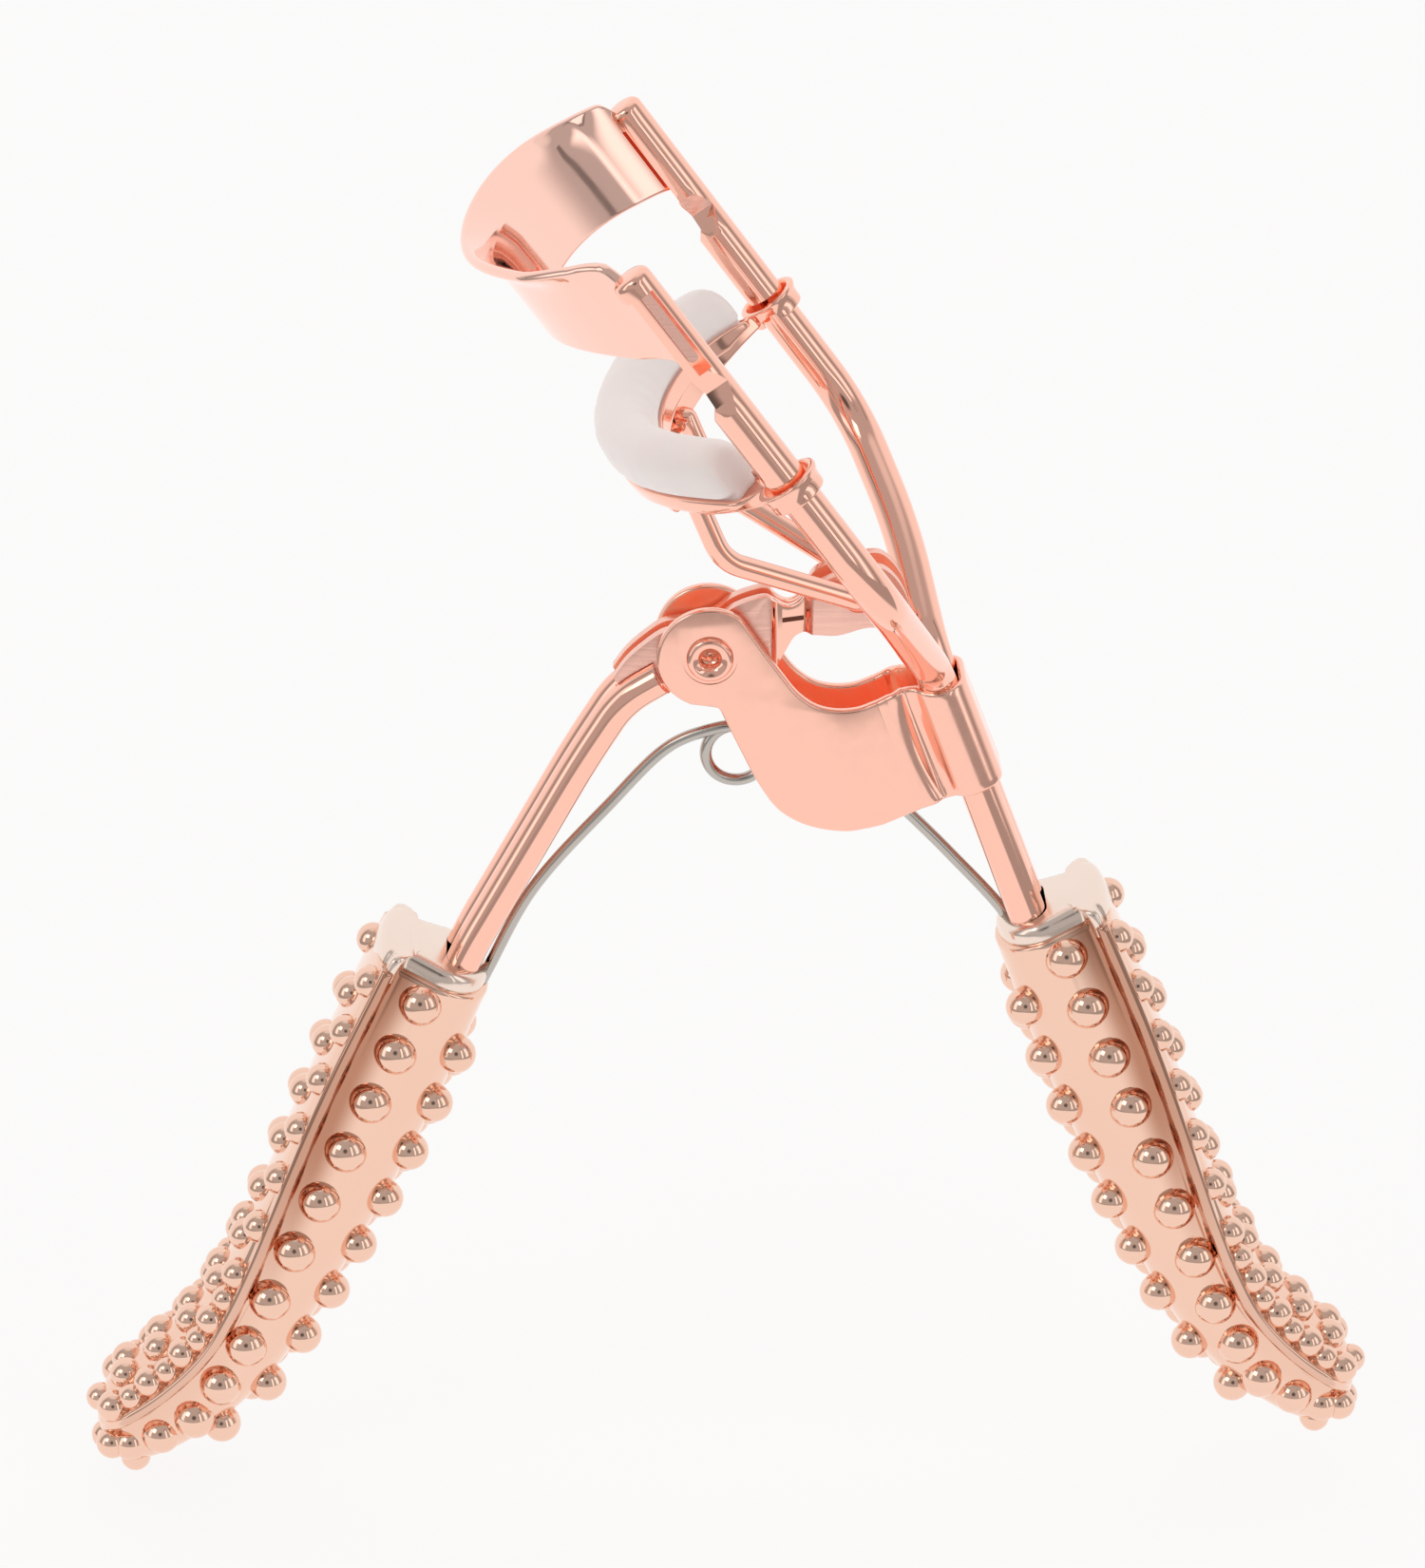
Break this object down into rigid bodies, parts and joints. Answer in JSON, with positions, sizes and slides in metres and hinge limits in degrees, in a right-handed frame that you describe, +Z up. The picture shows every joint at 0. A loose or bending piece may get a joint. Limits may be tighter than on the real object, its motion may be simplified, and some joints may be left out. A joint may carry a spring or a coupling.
{
  "type": "eyelash curler",
  "caption": "Eyelash curler: curved fixed jaw on guide rods, sliding jaw with soft pad, hinged lever, wire return spring and studded handle grips.",
  "frame": {"origin": "centre of the bounding box in X and Y, at the level of the lowest point of the handle grips", "axes": "+Z up, from the grips towards the jaws; +X from the moving lever's grip towards the fixed frame's grip; +Y across the width of the jaws, parallel to the hinge axis"},
  "size_m": [0.0976, 0.0404, 0.1048],
  "materials": {
    "rose_gold": "mirror-polished rose gold plating on steel",
    "rose_gold_brushed": "lightly brushed rose gold plating on steel",
    "rose_gold_grip": "polished rose gold plating on a moulded studded grip",
    "pale_plug": "pale pearly silver, glossy",
    "spring_steel": "bright drawn stainless spring wire",
    "silicone": "milky translucent silicone, soft satin"
  },
  "bodies": {
    "frame": {"frame_wire_near": "rose_gold", "frame_wire_far": "rose_gold", "upper_jaw": "rose_gold", "hinge_bracket": "rose_gold", "hinge_rivet": "rose_gold", "frame_grip_body": "rose_gold_grip", "frame_grip_cover": "rose_gold_grip", "frame_grip_plug": "pale_plug", "return_spring": "spring_steel"},
    "lever": {"lever_bracket": "rose_gold_brushed", "lever_wire_near": "rose_gold", "lever_wire_far": "rose_gold", "lever_grip_body": "rose_gold_grip", "lever_grip_cover": "rose_gold_grip", "lever_grip_plug": "pale_plug"},
    "jaw": {"lower_jaw": "rose_gold", "silicone_pad": "silicone", "link_yoke": "rose_gold"}
  },
  "joints": [
    {"name": "lever_hinge", "type": "hinge", "parent": "frame", "child": "lever", "pos_m": [-0.00142, 0, 0.06867], "axis": [0, -1, 0], "range_deg": [0, 38.4], "deforming": ["return_spring"]},
    {"name": "jaw_slide", "type": "slide", "parent": "frame", "child": "jaw", "axis": [-0.5851, 0, 0.8109], "range_m": [0, 0.0076]}
  ],
  "couplings": [
    {"joint": "jaw_slide", "follows": "lever_hinge", "m_per_rad": 0.01133}
  ]
}
